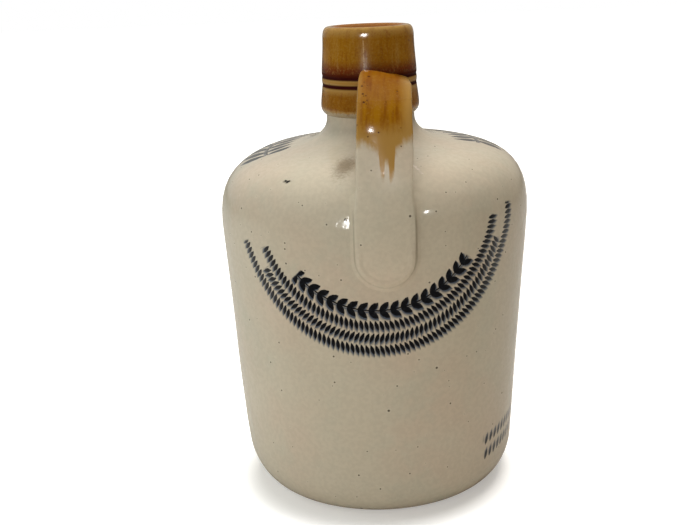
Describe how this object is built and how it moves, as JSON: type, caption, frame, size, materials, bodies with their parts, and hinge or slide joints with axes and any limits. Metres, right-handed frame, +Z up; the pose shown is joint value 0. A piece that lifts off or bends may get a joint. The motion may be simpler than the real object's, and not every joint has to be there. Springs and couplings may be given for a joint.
{
  "type": "stoneware jug",
  "caption": "Straight-sided stoneware spirit jug with a rounded shoulder, grooved mouth collar, strap handle and a driven cork that pulls out upwards.",
  "frame": {"origin": "centre of the flat base, on the surface that the jug stands on", "axes": "+Z up along the jug's axis towards the mouth; the handle's tail is on the -Y side"},
  "size_m": [0.125, 0.1307, 0.1877],
  "materials": {
    "cream_glaze": "glossy feldspathic glaze, cream with faint mottling",
    "honey_glaze": "glossy honey-brown dip, darker in the grooves",
    "handle_glaze": "glossy cream glaze with the honey dip over its top",
    "fired_slip": "matt fired slip",
    "cork": "raw cork"
  },
  "bodies": {
    "jug": {"lower_pot": "cream_glaze", "shoulder_head": "cream_glaze", "seam_slip": "fired_slip", "mouth_collar": "honey_glaze", "strap_handle": "handle_glaze", "handle_top_lute": "honey_glaze", "handle_tail_lute": "handle_glaze"},
    "stopper": {"cork_stopper": "cork"}
  },
  "joints": [
    {"name": "cork_pull", "type": "slide", "parent": "jug", "child": "stopper", "axis": [0, 0, 1], "range_m": [0, 0.04]}
  ]
}
